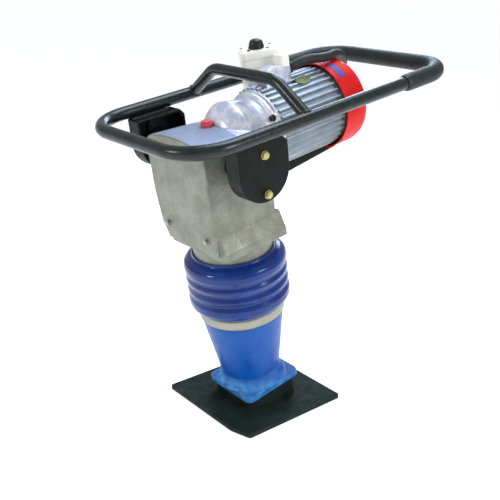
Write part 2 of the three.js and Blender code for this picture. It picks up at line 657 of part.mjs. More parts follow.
function buildMotor() {
  const { z, front, radius } = MOTOR;
  piece('motor_shell', finnedShell(), 'finGrey').position.set(0, 0, z);
  const frontShield = carve([pipe(12, radius - 5, NOSE.rear + GAP, front - GAP, 36, 'y'), pipe(19.3, 28, front - 2, 131, 24, 'y')]);
  piece('front_shield', frontShield, 'castGrey').position.set(0, 0, z);
  piece('front_motor_bearing', pipe(10.3, 19, front, 126, 20, 'y'), 'steel').position.set(0, 0, z);
  piece('stator_core', pipe(50, 77.3, 145, 257, 32, 'y'), 'copper').position.set(0, 0, z);
  const rearDisc = pipe(11, 88, MOTOR.rear + GAP, 292, 30, 'y');
  const rearBody = carve([pipe(18.6, 26, 268, 286, 24, 'y'), rearDisc]);
  piece('rear_shield', rearBody, 'castGrey').position.set(0, 0, z);
  piece('rear_motor_bearing', pipe(9.4, 18.3, 270, 284.5, 20, 'y'), 'steel').position.set(0, 0, z);
  piece('cooling_fan', fan(), 'knobBlack').position.set(0, 0, z);
  piece('fan_cover', fanCover(), 'fanRed').position.set(0, 0, z);
  piece('motor_cradle', motorCradle(), 'frameBlack');
  piece('terminal_box', terminalBox(), 'finGrey');
  piece('switch_box', switchBox(), 'boxCream');
  piece('switch_lid', switchLid(), 'boxCream');
  const knob = piece('switch_knob', intoBox(switchKnob().translate(KNOB.x, KNOB.y, 0)), 'knobBlack');
  knob.position.z = BOX.lidTop + GAP;
  const gland = piece('lead_gland', leadGland(), 'knobBlack');
  gland.position.set(LEAD.x, 0, LEAD.z);
  piece('motor_lead', motorLead(), 'rubber');
  const supply = turned([[0, 0], [9, 0], [10.5, 3], [10.5, 14], [7, 19], [0, 19]], 14, 'x');
  piece('supply_gland', intoBox(supply.translate(-BOX.halfDepth - 19 - GAP, 0, 764)), 'knobBlack');
  const inlet = carve([block(-125, -80, 236, 261, 620, 647)], [statorTop()]);
  piece('motor_inlet', inlet, 'knobBlack');
}

// ---- handle ----
function handleLoop(radius, sides) {
  const { halfWidth, front, rear, bend } = HANDLE;
  const corners = [[0, front], [halfWidth, front], [halfWidth, rear], [-halfWidth, rear], [-halfWidth, front], [0, front]];
  const points = filleted(corners.map(([x, y]) => new THREE.Vector3(x, y, 0)), bend, 6);
  points.pop();
  return bar(points, radius, sides, new THREE.Vector3(0, 0, 1), true);
}

function gripSleeve() {
  const { halfWidth, rear, bend } = HANDLE;
  const corners = [[halfWidth, GRIP.start], [halfWidth, rear], [-halfWidth, rear], [-halfWidth, GRIP.start]];
  const points = filleted(corners.map(([x, y]) => new THREE.Vector3(x, y, 0)), bend, 6);
  return carve([bar(points, GRIP.radius, 12, new THREE.Vector3(0, 0, 1), false)], [handleLoop(HANDLE.tube + GAP, 12)]);
}

function carryHoop() {
  const { y, rise, halfTop, radius, bend } = HOOP;
  const { halfWidth, tube } = HANDLE;
  const corners = [[-halfWidth, 0], [-halfTop, rise], [halfTop, rise], [halfWidth, 0]];
  const points = filleted(corners.map(([x, z]) => new THREE.Vector3(x, y, z)), bend, 5);
  return carve([bar(points, radius, 12, new THREE.Vector3(0, 1, 0), false)], [handleLoop(tube + GAP, 12)]);
}

function hangerOutline(inset) {
  const { y, z, radius, top } = HANGER;
  const r = radius - inset;
  const shape = new THREE.Shape();
  shape.moveTo(y + r, top - inset - 13);
  shape.lineTo(y + r - 11, top - inset);
  shape.lineTo(y - r, top - inset);
  shape.lineTo(y - r, z);
  shape.absarc(y, z, r, Math.PI, 2 * Math.PI, false);
  return shape;
}

// a D-shaped cup under the handle tube, open towards the gear case
function hanger(sign) {
  const { inner, outer, wall, face } = HANGER;
  const span = (a, b) => (sign > 0 ? [a, b] : [-b, -a]);
  const skin = alongX(hangerOutline(0), ...span(inner, outer), 9);
  const room = alongX(hangerOutline(wall), ...span(inner - 5, outer - face), 9);
  const holes = MOUNT_BOLTS.map((z) => rod(5.3, -210, 210, 10, 'x').translate(0, HANGER.y, z));
  return carve([skin], [room, ...holes]);
}

function mountBolt(sign) {
  const { outer, face } = HANGER;
  const bolt = carve([hexHead(17, outer + GAP, outer + 7, 'x'), rod(5, outer - face, outer + 1, 10, 'x')]);
  return sign > 0 ? bolt : bolt.rotateZ(Math.PI);
}

function buffer(sign) {
  const { radius, waist, plateInner } = BUFFER;
  const near = 98 + GAP;
  const far = plateInner - GAP;
  const rubber = turned([[0, near], [radius, near], [radius, near + 8], [waist, near + 20], [waist, far - 20],
    [radius, far - 8], [radius, far], [0, far]], 20, 'x');
  return sign > 0 ? rubber : rubber.rotateZ(Math.PI);
}

// steel plate bonded to the buffer's outer end; the two mount bolts clamp the hanger to it
function bufferPlate(sign) {
  const { plateInner, plateHalfWidth, plateLow, plateHigh } = BUFFER;
  const { y, outer, face } = HANGER;
  const span = sign > 0 ? [plateInner, outer - face - GAP] : [face + GAP - outer, -plateInner];
  const plate = roundedRect(y - plateHalfWidth, plateLow, y + plateHalfWidth, plateHigh, plateHalfWidth - 1);
  return alongX(plate, ...span, 5);
}

function buildHandle() {
  piece('handle_tube', handleLoop(HANDLE.tube, 12), 'frameBlack', handleFrame);
  piece('grip_sleeve', gripSleeve(), 'rubber', handleFrame);
  piece('carry_hoop', carryHoop(), 'frameBlack', handleFrame);
  for (const [side, sign] of [['near', 1], ['far', -1]]) {
    piece(`${side}_hanger`, hanger(sign), 'frameBlack', handleFrame);
    MOUNT_BOLTS.forEach((z, i) => {
      const place = i ? 'lower' : 'upper';
      const bolt = piece(`${side}_${place}_mount_bolt`, mountBolt(sign), 'brass', handleFrame);
      bolt.position.set(0, HANGER.y, z);
    });
    piece(`${side}_buffer_plate`, bufferPlate(sign), 'steel', handleFrame);
    piece(`${side}_buffer`, buffer(sign), 'rubber', handleFrame).position.set(0, HANGER.y, BUFFER.z);
  }
}

buildFoot();
buildCase();
buildDrive();
buildMotor();
buildHandle();

export default rammer;
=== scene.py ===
"""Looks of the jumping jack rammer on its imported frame: metres, +Z up, toe at -Y, operator at +Y."""
import json
import math
import random

import bmesh
import bpy
from mathutils import Matrix, Vector


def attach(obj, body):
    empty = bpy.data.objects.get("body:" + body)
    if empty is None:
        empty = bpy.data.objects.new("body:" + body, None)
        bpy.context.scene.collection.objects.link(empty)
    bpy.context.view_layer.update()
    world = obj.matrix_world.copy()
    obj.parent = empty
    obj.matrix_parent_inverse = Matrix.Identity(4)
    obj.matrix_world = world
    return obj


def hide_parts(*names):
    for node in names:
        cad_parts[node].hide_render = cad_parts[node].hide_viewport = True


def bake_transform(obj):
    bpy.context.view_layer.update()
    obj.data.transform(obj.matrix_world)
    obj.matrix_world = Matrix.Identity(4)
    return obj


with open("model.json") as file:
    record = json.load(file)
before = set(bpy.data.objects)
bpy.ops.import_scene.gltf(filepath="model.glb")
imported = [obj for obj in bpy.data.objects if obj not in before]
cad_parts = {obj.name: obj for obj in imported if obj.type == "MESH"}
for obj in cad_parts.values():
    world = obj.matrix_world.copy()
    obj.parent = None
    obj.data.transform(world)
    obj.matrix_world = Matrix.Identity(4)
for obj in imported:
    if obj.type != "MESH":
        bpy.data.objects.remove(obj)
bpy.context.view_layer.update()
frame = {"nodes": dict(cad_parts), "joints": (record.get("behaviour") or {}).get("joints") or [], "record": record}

random.seed(11)
MM = Matrix.Scale(0.001, 4)
TO_MM = Matrix.Scale(1000, 4)
ROUND = 128
VOXEL = 0.0017

# the leg leans as the lift joint says; in its frame z runs up the leg and y goes to the operator
LIFT_AXIS = next(j["axis"] for j in frame["joints"] if j["name"] == "machine_lift")
LEG = Matrix.Rotation(math.atan2(-LIFT_AXIS[1], LIFT_AXIS[2]), 4, "X")
HANDLE_Z, HANDLE_SLOPE = 708.3, -0.0274
HANDLE = LEG @ Matrix.Translation((0, 0, HANDLE_Z)) @ Matrix.Rotation(math.atan(HANDLE_SLOPE), 4, "X")
MOTOR_Z = 644
MOTOR = LEG @ Matrix.Translation((0, 0, MOTOR_Z))
BODY = {node: body for body, nodes in frame["record"]["behaviour"]["bodies"].items() for node in nodes}
SLOT = {s["node"]: s["material_slot"] for s in frame["record"]["subparts"]}


# ---- camera, floor and light ----
def make_camera():
    """The photograph's camera: it looks at the target from an azimuth round from the toe."""
    azimuth, elevation, roll = math.radians(49.62), math.radians(20.12), math.radians(1.53)
    target, distance = Vector((0, -0.0431, 0.3882)), 1.7228
    back = Vector((math.sin(azimuth) * math.cos(elevation), -math.cos(azimuth) * math.cos(elevation),
                   math.sin(elevation)))
    right = Vector((math.cos(azimuth), math.sin(azimuth), 0))
    up = back.cross(right)
    tilted_right = right * math.cos(roll) + up * math.sin(roll)
    tilted_up = up * math.cos(roll) - right * math.sin(roll)
    camera = bpy.data.objects.new("camera", bpy.data.cameras.new("camera"))
    bpy.context.scene.collection.objects.link(camera)
    place = Matrix((tilted_right, tilted_up, back)).transposed().to_4x4()
    place.translation = target + back * distance
    camera.matrix_world = place
    camera.data.sensor_width = 36
    camera.data.lens = 55.35
    camera.data.shift_x, camera.data.shift_y = 0.0099, -0.0048
    camera.data.clip_end = 200
    bpy.context.scene.camera = camera


def make_world():
    scene = bpy.context.scene
    scene.view_settings.view_transform = "Standard"
    world = bpy.data.worlds.new("studio")
    world.use_nodes = True
    scene.world = world
    background = world.node_tree.nodes["Background"]
    background.inputs["Color"].default_value = (0.97, 0.98, 1.0, 1)
    background.inputs["Strength"].default_value = 0.5


def make_floor():
    half, level = 60, -0.0004
    mesh = bpy.data.meshes.new("floor")
    corners = [(-half, -half, level), (half, -half, level), (half, half, level), (-half, half, level)]
    mesh.from_pydata(corners, [], [(0, 1, 2, 3)])
    floor = bpy.data.objects.new("floor", mesh)
    bpy.context.scene.collection.objects.link(floor)
    material = bpy.data.materials.new("floor_paper")
    material.use_nodes = True
    shader = material.node_tree.nodes["Principled BSDF"]
    shader.inputs["Base Color"].default_value = (0.84, 0.84, 0.84, 1)
    shader.inputs["Roughness"].default_value = 0.9
    shader.inputs["Emission Color"].default_value = (1, 1, 1, 1)
    shader.inputs["Emission Strength"].default_value = 0.58
    mesh.materials.append(material)


def area_light(name, place, aim, size, power, colour):
    light = bpy.data.lights.new(name, "AREA")
    light.shape, light.size, light.energy, light.color = "DISK", size, power, colour
    obj = bpy.data.objects.new(name, light)
    bpy.context.scene.collection.objects.link(obj)
    obj.location = place
    obj.rotation_euler = (Vector(aim) - Vector(place)).to_track_quat("-Z", "Y").to_euler()


def make_lights():
    area_light("soft_top", (-0.2, 0.5, 2.6), (0, 0, 0.5), 1.5, 34, (0.72, 0.84, 1.0))
    area_light("soft_rear", (-1.5, 1.8, 1.75), (0, 0, 0.6), 1.2, 26, (0.6, 0.76, 1.0))
    area_light("soft_right", (2.3, 0.5, 1.5), (0, 0, 0.5), 0.9, 20, (0.97, 0.98, 1.0))
    area_light("soft_left", (-0.5, -2.4, 1.6), (0, 0, 0.4), 0.45, 15, (1.0, 0.99, 0.95))


# ---- materials ----
# gloss varies in patches that are this many times finer than the patches of colour
GLOSS_FINER = 3.1


def srgb(*levels):
    """Linear colour of three display levels, each out of 255."""
    return tuple(((c / 255 + 0.055) / 1.055) ** 2.4 if c > 10 else c / 255 / 12.92 for c in levels) + (1,)


class Nodes:
    """Shorthand for wiring one material."""

    def __init__(self, material):
        material.use_nodes = True
        self.material = material
        self.tree = material.node_tree
        self.shader = self.tree.nodes["Principled BSDF"]
        self.place = self.tree.nodes.new("ShaderNodeTexCoord").outputs["Object"]

    def link(self, source, target):
        self.tree.links.new(source, target)

    def noise(self, scale, detail, rough=0.55):
        node = self.tree.nodes.new("ShaderNodeTexNoise")
        node.inputs["Scale"].default_value = scale
        node.inputs["Detail"].default_value = detail
        node.inputs["Roughness"].default_value = rough
        self.link(self.place, node.inputs["Vector"])
        return node.outputs["Fac"]

    def upward(self, vector):
        """The Z part of a vector."""
        node = self.tree.nodes.new("ShaderNodeSeparateXYZ")
        self.link(vector, node.inputs["Vector"])
        return node.outputs["Z"]

    def product(self, first, second):
        node = self.tree.nodes.new("ShaderNodeMath")
        node.operation = "MULTIPLY"
        self.link(first, node.inputs[0])
        self.link(second, node.inputs[1])
        return node.outputs["Value"]

    def grey(self, level):
        node = self.tree.nodes.new("ShaderNodeCombineColor")
        for socket in node.inputs[:3]:
            self.link(level, socket)
        return node.outputs["Color"]

    def span(self, source, low, high, to_low=0.0, to_high=1.0):
        node = self.tree.nodes.new("ShaderNodeMapRange")
        for key, value in (("From Min", low), ("From Max", high), ("To Min", to_low), ("To Max", to_high)):
            node.inputs[key].default_value = value
        self.link(source, node.inputs["Value"])
        return node.outputs["Result"]

    def mix(self, factor, first, second, blend="MIX"):
        node = self.tree.nodes.new("ShaderNodeMix")
        node.data_type = "RGBA"
        node.blend_type = blend
        sockets = {s.identifier: s for s in node.inputs}
        for value, key in ((factor, "Factor_Float"), (first, "A_Color"), (second, "B_Color")):
            if isinstance(value, bpy.types.NodeSocket):
                self.link(value, sockets[key])
            else:
                sockets[key].default_value = value
        return {s.identifier: s for s in node.outputs}["Result_Color"]

    def bump(self, height, distance, under=None):
        node = self.tree.nodes.new("ShaderNodeBump")
        node.inputs["Distance"].default_value = distance
        self.link(height, node.inputs["Height"])
        if under is not None:
            self.link(under, node.inputs["Normal"])
        return node.outputs["Normal"]


def finish(name, colour, second, rough, metal=0.0, tone=(14, 0.42, 0.62), speck=(700, 0.1), spread=0.08,
           grain=(900, 0.00012), lump=(60, 0.0003), coat=0.0, scuff=None, shine=0.5, painted_sky=None):
    """A surface in two tones, in soft patches, with fine specks, uneven gloss and grain on lumps.

    Noise comes as (scale, low, high) for tone, (scale, depth) for speck and (scale, height in metres) for
    grain and lump. Scuffs, as (shade, scale, low, high), may show through it, and a painted reflection of
    the sky, as (tint, low, high), may lie on what faces up.
    """
    n = Nodes(bpy.data.materials.new(name))
    tone_scale, tone_low, tone_high = tone
    patches = n.span(n.noise(tone_scale, 5), tone_low, tone_high)
    base = n.mix(patches, srgb(*colour), srgb(*second))
    speck_scale, depth = speck
    specks = n.span(n.noise(speck_scale, 2), 0.3, 0.7, 1 - depth, 1 + depth)
    base = n.mix(1.0, base, n.grey(specks), "MULTIPLY")
    gloss = n.span(n.noise(tone_scale * GLOSS_FINER, 4), 0.3, 0.7, rough - spread, rough + spread)
    if scuff:
        bare, scale, low, high = scuff
        worn = n.span(n.noise(scale, 8, rough=0.7), low, high)
        base = n.mix(worn, base, srgb(*bare))
    # painted reflection: faces that point up take a bluish tint, in place of the sky they would mirror
    if painted_sky:
        tint, low, high = painted_sky
        facing_up = n.upward(n.tree.nodes.new("ShaderNodeNewGeometry").outputs["Normal"])
        base = n.mix(n.span(facing_up, low, high), base, srgb(*tint))
    n.link(base, n.shader.inputs["Base Color"])
    n.link(gloss, n.shader.inputs["Roughness"])
    n.shader.inputs["Metallic"].default_value = metal
    n.shader.inputs["Specular IOR Level"].default_value = shine
    n.shader.inputs["Coat Weight"].default_value = coat
    n.shader.inputs["Coat Roughness"].default_value = 0.12
    normal = n.bump(n.noise(lump[0], 3), lump[1])
    normal = n.bump(n.noise(grain[0], 3), grain[1], under=normal)
    n.link(normal, n.shader.inputs["Normal"])
    return n.material


def pale_flange_light(material):
    """Painted light: paler paint, in soft patches, on the lowest part of the leg, the flange and its fillet."""
    n = Nodes(material)
    paint = n.shader.inputs["Base Color"].links[0].from_socket
    # painted light: below these heights the paint turns paler, for the light falling on the flange's top
    plain_above, pale_below = 0.082, 0.062
    height = n.span(n.upward(n.place), plain_above, pale_below)
    cloud = n.span(n.noise(55, 6, rough=0.5), 0.35, 0.6, 0.35)
    n.link(n.mix(n.product(height, cloud), paint, srgb(70, 142, 208)), n.shader.inputs["Base Color"])


def make_materials():
    looks = {
        "shoe_black": finish(
            "worn_black_steel", (26, 38, 33), (38, 50, 44), 0.62, metal=0.1, tone=(22, 0.4, 0.65),
            speck=(900, 0.4), spread=0.1, grain=(500, 0.0004), lump=(40, 0.0004),
            scuff=((84, 90, 82), 120, 0.62, 0.8), shine=0.12),
        "leg_blue": finish(
            "blue_enamel", (0, 84, 170), (0, 72, 158), 0.36, tone=(18, 0.4, 0.62), speck=(650, 0.12),
            grain=(700, 0.00016), lump=(70, 0.0006), coat=0.06, shine=0.3),
        "bellows_blue": finish(
            "blue_bellows", (0, 36, 108), (2, 50, 128), 0.17, tone=(16, 0.4, 0.6), speck=(500, 0.06),
            spread=0.05, grain=(1400, 0.00003), lump=(45, 0.0003), coat=0.3, shine=0.3),
        "ring_beige": finish(
            "beige_band", (170, 170, 152), (152, 152, 138), 0.42, metal=0.25, tone=(20, 0.4, 0.6),
            speck=(600, 0.08), grain=(900, 0.0001), lump=(60, 0.0002)),
        # the case's upward faces carry a painted reflection of the sky, in bluish silver
        "cast_grey": finish(
            "silver_casting", (126, 127, 113), (144, 145, 133), 0.42, metal=0.4, tone=(22, 0.38, 0.62),
            speck=(520, 0.2), spread=0.1, grain=(420, 0.0003), lump=(70, 0.0007), shine=0.3,
            painted_sky=((150, 164, 188), 0.7, 0.96)),
        # the fins' upward faces carry a painted reflection of the sky, bluer towards the top
        "motor_grey": finish(
            "silver_fins", (112, 121, 112), (136, 145, 137), 0.4, metal=0.4, tone=(26, 0.38, 0.6),
            speck=(700, 0.1), spread=0.1, grain=(500, 0.00016), lump=(80, 0.0004),
            painted_sky=((196, 212, 240), 0.1, 0.8)),
        "bright_cast": finish(
            "bright_casting", (236, 236, 242), (190, 198, 220), 0.34, metal=0.35, tone=(40, 0.36, 0.6),
            speck=(620, 0.1), spread=0.1, grain=(420, 0.0002), lump=(70, 0.0014)),
        "steel": finish(
            "machined_steel", (150, 152, 156), (132, 134, 138), 0.3, metal=0.9, tone=(40, 0.4, 0.6),
            speck=(900, 0.06)),
        "spring_steel": finish(
            "oiled_spring", (74, 76, 80), (58, 60, 62), 0.35, metal=0.85, tone=(40, 0.4, 0.6),
            speck=(800, 0.08)),
        "bronze": finish(
            "bearing_bronze", (176, 128, 66), (156, 110, 56), 0.4, metal=0.85, tone=(40, 0.4, 0.6),
            speck=(800, 0.08)),
        "winding": finish(
            "lacquered_copper", (160, 92, 52), (136, 74, 40), 0.45, metal=0.6, tone=(60, 0.4, 0.6),
            speck=(800, 0.1)),
        "frame_black": finish(
            "black_enamel", (12, 22, 20), (22, 34, 32), 0.26, tone=(26, 0.4, 0.6), speck=(600, 0.15),
            spread=0.07, grain=(520, 0.00012), lump=(60, 0.0004), shine=0.45),
        "hanger_black": finish(
            "black_plate", (3, 6, 5), (12, 17, 14), 0.45, tone=(30, 0.4, 0.6), speck=(600, 0.25),
            grain=(480, 0.00022), lump=(50, 0.0005), shine=0.18),
        "rubber_black": finish(
            "black_rubber", (14, 20, 18), (24, 31, 29), 0.5, tone=(24, 0.4, 0.6), speck=(800, 0.12),
            spread=0.06, grain=(900, 0.0001), lump=(60, 0.0003), shine=0.4),
        "fan_red": finish(
            "red_enamel", (206, 16, 16), (216, 30, 28), 0.42, tone=(20, 0.4, 0.62), speck=(650, 0.08),
            grain=(700, 0.00012), lump=(50, 0.0005), shine=0.2),
        "plug_red": finish(
            "red_plastic", (206, 66, 74), (222, 96, 102), 0.4, tone=(60, 0.4, 0.6), speck=(900, 0.06)),
        "box_cream": finish(
            "cream_plastic", (255, 253, 246), (250, 247, 234), 0.42, tone=(22, 0.4, 0.6), speck=(800, 0.04),
            spread=0.06, grain=(1100, 0.00008), lump=(60, 0.0003)),
        "trim_black": finish(
            "black_plastic", (20, 21, 22), (30, 32, 32), 0.36, tone=(60, 0.4, 0.6), speck=(900, 0.1),
            shine=0.35),
        "brass": finish(
            "yellow_zinc", (196, 192, 132), (166, 160, 96), 0.36, metal=0.5, tone=(90, 0.4, 0.6),
            speck=(700, 0.14)),
        "zinc": finish(
            "grey_zinc", (168, 170, 168), (146, 148, 148), 0.32, metal=0.75, tone=(90, 0.4, 0.6),
            speck=(700, 0.12)),
        "black_oxide": finish(
            "black_oxide", (30, 38, 34), (44, 52, 48), 0.4, metal=0.5, tone=(90, 0.4, 0.6),
            speck=(700, 0.14)),
        "label_blue": finish(
            "blue_foil", (52, 60, 150), (64, 76, 166), 0.4, tone=(60, 0.4, 0.6), speck=(700, 0.08)),
        "plate_olive": finish(
            "olive_foil", (112, 122, 64), (92, 102, 56), 0.4, metal=0.3, tone=(60, 0.4, 0.6),
            speck=(700, 0.14)),
        "weld": finish(
            "painted_weld", (18, 25, 23), (30, 38, 36), 0.4, tone=(90, 0.4, 0.6), speck=(900, 0.2),
            grain=(700, 0.0003), lump=(180, 0.0008), shine=0.4),
    }
    # painted light on the flange and its fillet
    pale_flange_light(looks["leg_blue"])
    return looks


# ---- outlines ----
def corner(before, here, after, radius, steps):
    """Points of the arc that eases the corner at here."""
    back, ahead = before - here, after - here
    half = back.angle(ahead) / 2
    if radius <= 0 or half > math.pi / 2 - 0.02:
        return [here.copy()]
    reach = min(radius / math.tan(half), 0.495 * back.length, 0.495 * ahead.length)
    radius = reach * math.tan(half)
    back.normalize()
    ahead.normalize()
    centre = here + (back + ahead).normalized() * (radius / math.sin(half))
    start, end = here + back * reach - centre, here + ahead * reach - centre
    total = start.angle(end)
    shares = [k / steps for k in range(steps + 1)]
    return [centre + (start * math.sin((1 - t) * total) + end * math.sin(t * total)) / math.sin(total)
            for t in shares]


def eased(points, radius=0.0, steps=6, closed=True):
    """A polyline with its corners eased; a third number in a 2-D point is that corner's own radius."""
    own = [p[2] if len(p) > 2 else radius for p in points]
    flat = [Vector(p[:2]) for p in points]
    return bent(flat, own, steps, closed)


def bent(points, radius, steps, closed=False):
    """A polyline with its corners eased by one radius, or by a radius for each point."""
    count = len(points)
    radii = radius if isinstance(radius, list) else [radius] * count
    out = []
    for i, here in enumerate(points):
        if not closed and i in (0, count - 1):
            out.append(here.copy())
        else:
            out += corner(points[i - 1], here, points[(i + 1) % count], radii[i], steps)
    return out


def rounded_rect(x0, y0, x1, y1, radius, steps=8):
    return eased([(x0, y0), (x1, y0), (x1, y1), (x0, y1)], radius, steps)


def arc(cx, cy, radius, start, end, steps):
    turns = [math.radians(start + (end - start) * k / steps) for k in range(steps + 1)]
    return [Vector((cx + radius * math.cos(t), cy + radius * math.sin(t))) for t in turns]


def pulled(a, b, c, steps):
    """Quadratic curve from a to c, pulled to b, without its first point."""
    a, b, c = Vector(a), Vector(b), Vector(c)
    shares = [k / steps for k in range(1, steps + 1)]
    return [a * (1 - t) ** 2 + b * 2 * t * (1 - t) + c * t * t for t in shares]


def hexagon(across):
    reach = across / math.sqrt(3)
    turns = [math.radians(60 * k + 15) for k in range(6)]
    return [Vector((reach * math.cos(t), reach * math.sin(t))) for t in turns]


# ---- solids, in millimetres before their place is applied ----
def from_rings(name, verts, faces, place):
    mesh = bpy.data.meshes.new(name)
    mesh.from_pydata([tuple(v) for v in verts], [], faces)
    clean = bmesh.new()
    clean.from_mesh(mesh)
    bmesh.ops.remove_doubles(clean, verts=clean.verts, dist=1e-3)
    bmesh.ops.dissolve_degenerate(clean, edges=clean.edges, dist=1e-4)
    bmesh.ops.recalc_face_normals(clean, faces=clean.faces)
    clean.to_mesh(mesh)
    clean.free()
    mesh.transform(MM @ place)
    obj = bpy.data.objects.new(name, mesh)
    bpy.context.scene.collection.objects.link(obj)
    return obj


# a solid is built along z, and its axis then lays it along x or y; the one for y mirrors it
AXES = {"z": Matrix.Identity(4),
        "y": Matrix(((1, 0, 0, 0), (0, 0, 1, 0), (0, 1, 0, 0), (0, 0, 0, 1))),
        "x": Matrix(((0, 0, 1, 0), (1, 0, 0, 0), (0, 1, 0, 0), (0, 0, 0, 1)))}


def face_outwards(obj):
    """Turns the faces back that a mirrored place, or the y axis, has turned inwards."""
    mesh = bmesh.new()
    mesh.from_mesh(obj.data)
    bmesh.ops.recalc_face_normals(mesh, faces=mesh.faces)
    mesh.to_mesh(obj.data)
    mesh.free()
    return obj


def lathe(name, profile, place, axis="z", closed=False, segments=None):
    """Turns [radius, height] points about an axis; an open profile starts and ends on it."""
    segments = segments or ROUND
    count = len(profile)
    verts = []
    for k in range(segments):
        angle = 2 * math.pi * k / segments
        verts += [(radius * math.cos(angle), radius * math.sin(angle), height) for radius, height in profile]
    faces = []
    for k in range(segments):
        near, far = k * count, ((k + 1) % segments) * count
        for i in range(count if closed else count - 1):
            j = (i + 1) % count
            faces.append((near + i, near + j, far + j, far + i))
    return from_rings(name, verts, faces, place @ AXES[axis])


def prism(name, outline, low, high, place, axis="z", bevel=0.0, segments=3):
    count = len(outline)
    verts = [(p[0], p[1], low) for p in outline] + [(p[0], p[1], high) for p in outline]
    faces = [tuple(range(count)), tuple(range(count, 2 * count))]
    faces += [(i, (i + 1) % count, count + (i + 1) % count, count + i) for i in range(count)]
    obj = from_rings(name, verts, faces, place @ AXES[axis])
    if bevel:
        bevel_edges(obj, bevel, segments)
        settle(obj)
    return obj


def ring(centre, side, up, radius, sides):
    """Points of a circle in the plane of two unit vectors."""
    turns = [2 * math.pi * k / sides for k in range(sides)]
    return [centre + side * (radius * math.cos(t)) + up * (radius * math.sin(t)) for t in turns]


def skin(count, sides, closed=False, first=0):
    """Faces between neighbouring rings, from the point with number first."""
    faces = []
    for i in range(count if closed else count - 1):
        near, far = first + i * sides, first + ((i + 1) % count) * sides
        faces += [(near + k, near + (k + 1) % sides, far + (k + 1) % sides, far + k) for k in range(sides)]
    return faces


def caps(count, sides):
    return [tuple(range(sides)), tuple(range((count - 1) * sides, count * sides))]


def sweep(name, path, radius, place, normal, closed=False, sides=32, inner=None, shares=None):
    """A round bar, or a sleeve where inner is given, along a flat path whose plane has that normal.

    The shares scale the outside at each point of the path.
    """
    count = len(path)
    normal = Vector(normal)
    outside, inside = [], []
    for i, here in enumerate(path):
        before = path[i - 1] if closed or i else here
        after = path[(i + 1) % count] if closed or i < count - 1 else here
        ahead = (after - before).normalized()
        side = ahead.cross(normal).normalized()
        up = side.cross(ahead).normalized()
        outside += ring(here, side, up, radius * (shares[i] if shares else 1), sides)
        if inner:
            inside += ring(here, side, up, inner, sides)
    faces = skin(count, sides, closed)
    if inner:
        shift = len(outside)
        faces += skin(count, sides, closed, shift)
        for start in (0, (count - 1) * sides):
            faces += [(start + k, start + (k + 1) % sides, shift + start + (k + 1) % sides, shift + start + k)
                      for k in range(sides)]
    elif not closed:
        faces += caps(count, sides)
    return from_rings(name, outside + inside, faces, place)


def settle(obj):
    """Applies the modifiers to the mesh."""
    graph = bpy.context.evaluated_depsgraph_get()
    mesh = bpy.data.meshes.new_from_object(obj.evaluated_get(graph))
    obj.modifiers.clear()
    obj.data = mesh
    return obj


def bevel_edges(obj, width, segments, angle=40):
    modifier = obj.modifiers.new("edge", "BEVEL")
    modifier.width, modifier.segments = width / 1000, segments
    modifier.limit_method, modifier.angle_limit = "ANGLE", math.radians(angle)


def combine(obj, others, operation):
    for other in others:
        modifier = obj.modifiers.new("solid", "BOOLEAN")
        modifier.operation, modifier.solver, modifier.object = operation, "EXACT", other
        settle(obj)
        bpy.data.objects.remove(other)
    return obj


def cast(obj, rounds, voxel=VOXEL):
    """Gives a solid the soft corners and fillets of a casting."""
    grid = obj.modifiers.new("grid", "REMESH")
    grid.mode, grid.voxel_size = "VOXEL", voxel
    melt = obj.modifiers.new("melt", "SMOOTH")
    melt.factor, melt.iterations = 0.6, rounds
    return settle(obj)


def shade(obj, angle=35):
    obj.data.shade_smooth()
    obj.data.set_sharp_from_angle(angle=math.radians(angle))


def dress(obj, look):
    obj.data.materials.clear()
    obj.data.materials.append(LOOKS[look])


def extra(obj, body, look, angle=35):
    """Finishes a visible piece, which rides on that body."""
    shade(obj, angle)
    dress(obj, look)
    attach(obj, body)


def stands_for(obj, node, look=None, angle=35):
    """The piece stands in for the node, which it hides, rides on its body and wears its slot's finish unless a
    look is given.
    """
    extra(obj, BODY[node], look or SLOT[node], angle)
    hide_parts(node)


def hex_bolt(name, across, low, high, place, axis, washer):
    """Chamfered hexagon head from low to high along the axis, on a washer given as (radius, thickness)."""
    up = 1 if high > low else -1
    radius, thick = washer
    start = low + up * thick
    tall = abs(high - start)
    head = prism(name, hexagon(across), min(start, high), max(start, high), place, axis, 0.7, 2)
    cone = [(0, 0), (across * 0.58, 0), (across * 0.58, tall - 1.2), (across * 0.5, tall), (0, tall)]
    upright = place @ AXES[axis] @ Matrix.Translation((0, 0, start)) @ Matrix.Scale(up, 4, (0, 0, 1))
    chamfer = face_outwards(lathe("chamfer", eased(cone, 0.2, 2, False), upright, segments=48))
    combine(head, [chamfer], "INTERSECT")
    disc = [(0, 0), (radius, 0), (radius, thick), (0, thick)]
    foot = place @ AXES[axis] @ Matrix.Translation((0, 0, min(low, start)))
    combine(head, [lathe("washer", eased(disc, 0.35, 2, False), foot, segments=48)], "UNION")
    return head


# ---- foot ----
def build_foot():
    shoe = frame["nodes"]["shoe_plate"]
    bevel_edges(shoe, 1.2, 2, 50)
    build_leg()
    band = [(86.5, 246, 0.6), (95.5, 246, 1.2), (98, 251, 3), (98, 267, 2), (95, 270, 2), (86.5, 270, 0.6)]
    stands_for(lathe("bellows_ring_fine", eased(band, 1, 5), LEG, closed=True), "bellows_ring")
    build_bellows()


def build_leg():
    outer = [(0, 50), (74, 50), (80, 64), (75.5, 67), (72, 73), (70.2, 82), (69.3, 93), (94.5, 245.7)]
    inner = [(86.5, 245.7), (61.3, 93), (60, 80), (0, 80)]
    leg = lathe("leg_casting_fine", outer + inner, LEG)
    flange = prism("flange", rounded_rect(-76, -73, 76, 85, 15), 46, 64, LEG, "z", 3, 4)
    combine(leg, [flange], "UNION")
    stands_for(cast(leg, 7), "leg_casting", angle=60)


